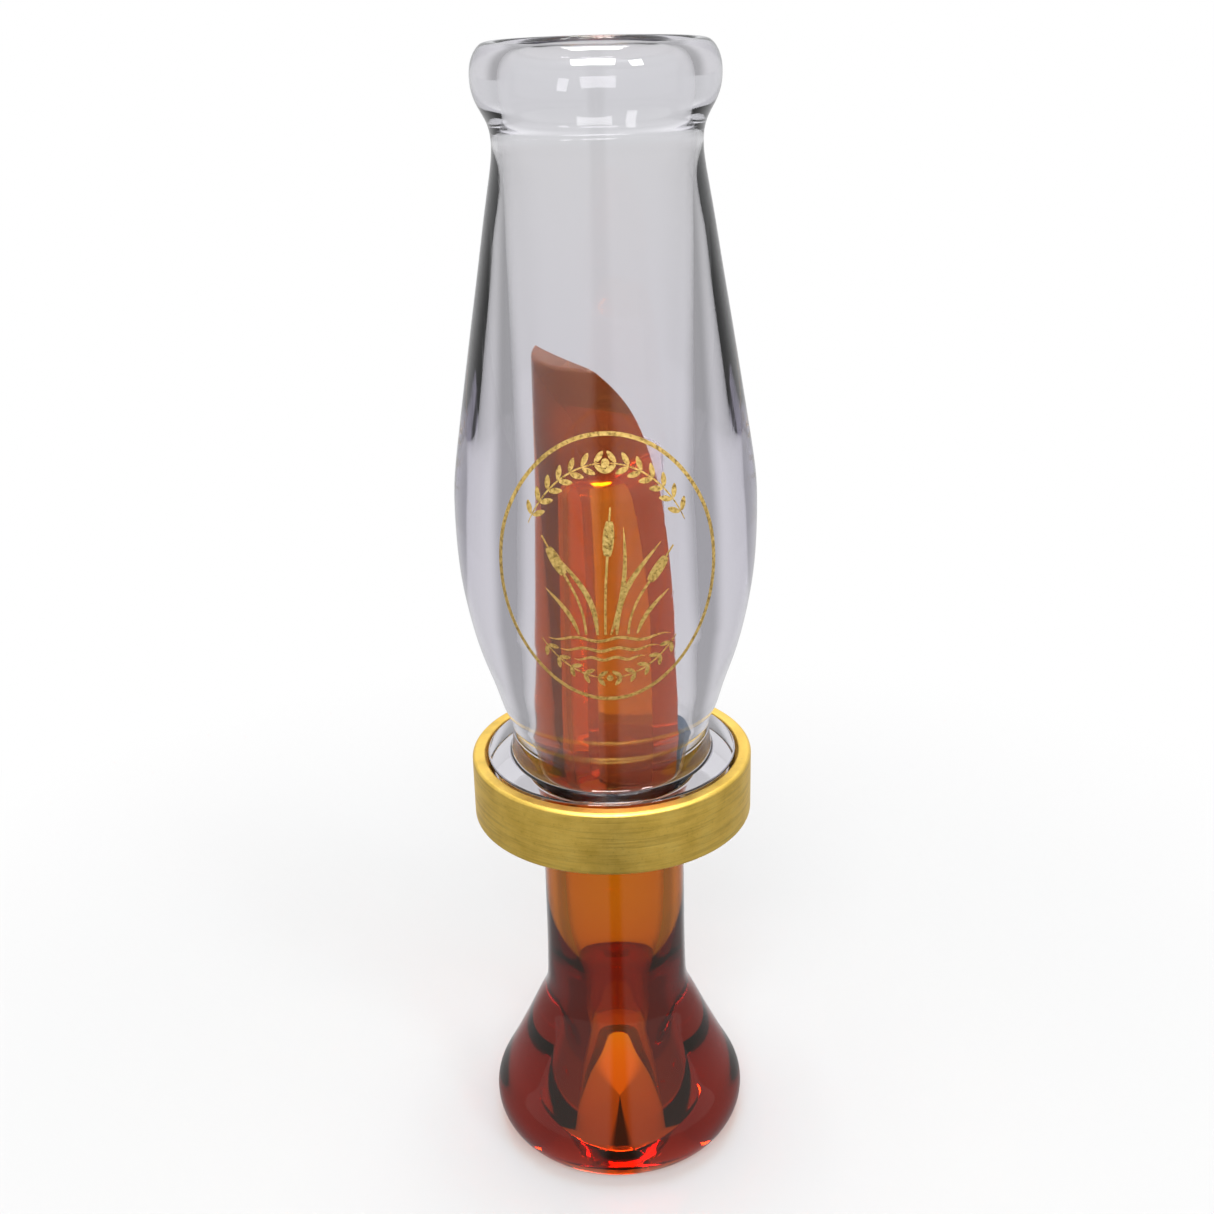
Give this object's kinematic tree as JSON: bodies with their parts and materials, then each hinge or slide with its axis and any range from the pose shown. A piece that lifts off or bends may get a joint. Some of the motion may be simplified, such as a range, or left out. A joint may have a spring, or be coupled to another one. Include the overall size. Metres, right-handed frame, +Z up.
{
  "type": "duck call",
  "caption": "Mouth-blown duck call: clear belly-shaped barrel with a brass band over an amber flared insert whose tone board, mylar reed and rubber wedge show through the barrel.",
  "frame": {"origin": "centre of the bell's foot, on the plane the call stands on", "axes": "+Z up along the bore from the bell to the mouthpiece, -Y towards the decorated side of the barrel, +X to that side's right"},
  "size_m": [0.0356, 0.0356, 0.139],
  "materials": {
    "barrel": "clear polished acrylic",
    "band": "turned brass, lightly satin",
    "insert": "transparent amber moulded plastic, polished",
    "reed": "translucent frosted mylar",
    "wedge": "matte blue-grey rubber"
  },
  "bodies": {
    "insert": {"insert": "insert"},
    "barrel": {"barrel": "barrel", "band": "band"},
    "wedge": {"wedge": "wedge"},
    "reed": {"reed": "reed"}
  },
  "joints": [
    {"name": "barrel_pull", "type": "slide", "parent": "insert", "child": "barrel", "axis": [0, 0, 1], "range_m": [0, 0.06]},
    {"name": "wedge_pull", "type": "slide", "parent": "insert", "child": "wedge", "axis": [0, 0, 1], "range_m": [0, 0.056]},
    {"name": "reed_flex", "type": "hinge", "parent": "wedge", "child": "reed", "pos_m": [0.0023, 0.00173, 0.057], "axis": [-0.6018, 0.7986, 0], "range_deg": [-0.8, 2]}
  ]
}
